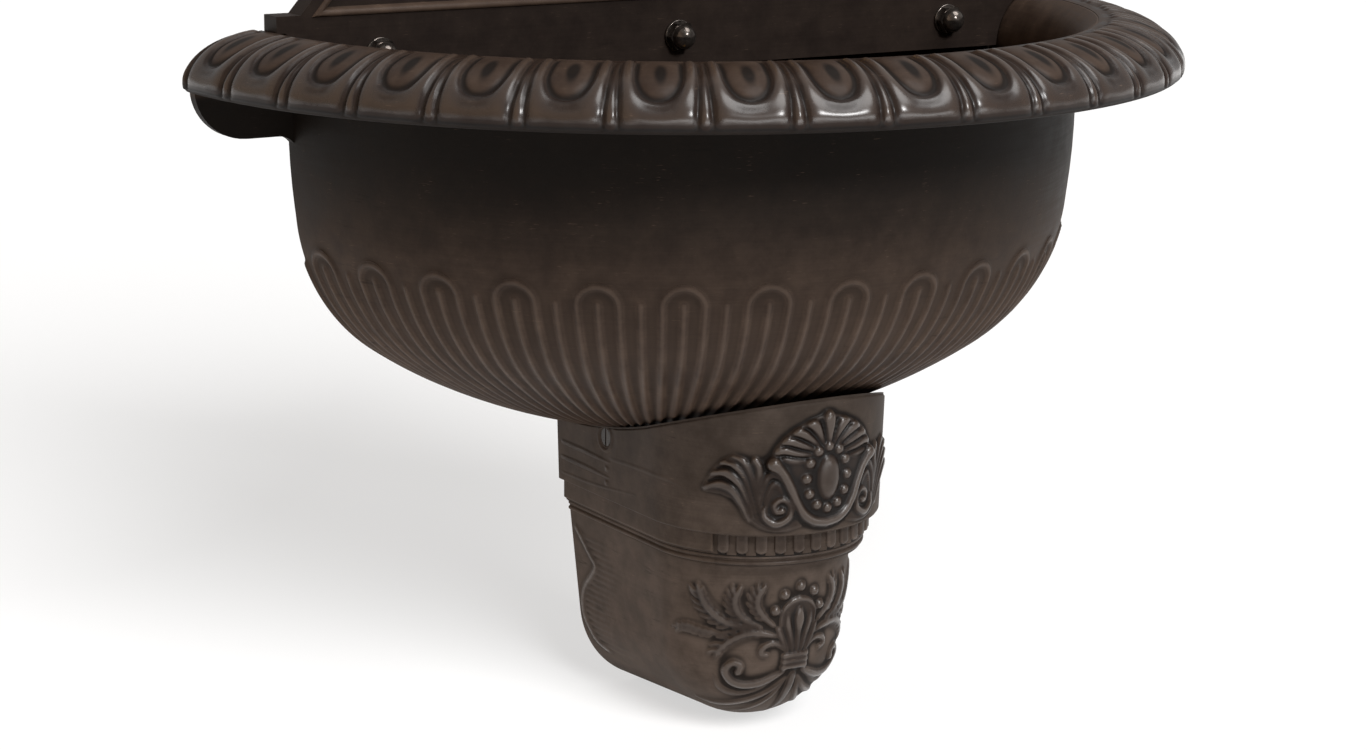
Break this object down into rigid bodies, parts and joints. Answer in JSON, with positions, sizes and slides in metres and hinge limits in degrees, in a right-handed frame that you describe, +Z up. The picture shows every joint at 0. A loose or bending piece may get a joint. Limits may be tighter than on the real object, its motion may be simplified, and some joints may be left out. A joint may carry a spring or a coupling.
{
  "type": "wall fountain",
  "caption": "Wall-hung garden fountain: half-round cast basin with ornamented rim and fluted bowl, hollow corbel below, back plate with a bib tap above.",
  "frame": {"origin": "on the wall plane, at the middle of the fountain, level with the top of the basin's rim", "axes": "+X to the right as the fountain is faced, +Y into the wall, +Z up"},
  "size_m": [0.52, 0.2604, 0.705],
  "materials": {
    "cast_patina": "dark brown rubbed patina, satin",
    "cap_metal": "dark brown, polished on the domes",
    "aged_brass": "aged satin brass",
    "steel": "zinc plated",
    "rubber": "matt black",
    "fibre": "matt red fibre",
    "ceramic": "lapped white ceramic",
    "drain_plastic": "dark grey drain plastic"
  },
  "bodies": {
    "fountain": {"basin": "cast_patina", "back_plate": "cast_patina", "console": "cast_patina", "plate_bolts": "steel", "plate_seals": "rubber", "plate_washers": "cap_metal", "plate_cap_nuts": "cap_metal", "console_bracket": "steel", "console_screws": "cap_metal", "drain_flange": "aged_brass", "drain_seal": "rubber", "drain_gasket": "rubber", "drain_locknut": "aged_brass", "drain_elbow": "drain_plastic", "drain_union_nut": "drain_plastic", "tap_body": "aged_brass", "tap_rosette": "aged_brass", "tap_fibre_washer": "fibre", "tap_locknut": "aged_brass", "tap_nozzle": "aged_brass", "tap_fixed_disc": "ceramic", "tap_bonnet": "aged_brass", "tap_bonnet_seal": "rubber", "tap_gland_nut": "aged_brass"},
    "tap_handle": {"tap_handle": "aged_brass", "tap_handle_cap": "aged_brass", "tap_spindle": "aged_brass", "tap_turning_disc": "ceramic"},
    "drain_plug": {"drain_plug": "aged_brass", "drain_plug_ring": "rubber"}
  },
  "joints": [
    {"name": "tap_turn", "type": "hinge", "parent": "fountain", "child": "tap_handle", "pos_m": [0, -0.062, 0.2], "axis": [0, 0, 1], "range_deg": [0, 90]},
    {"name": "plug_lift", "type": "slide", "parent": "fountain", "child": "drain_plug", "axis": [0, 0, 1], "range_m": [0, 0.08]}
  ]
}
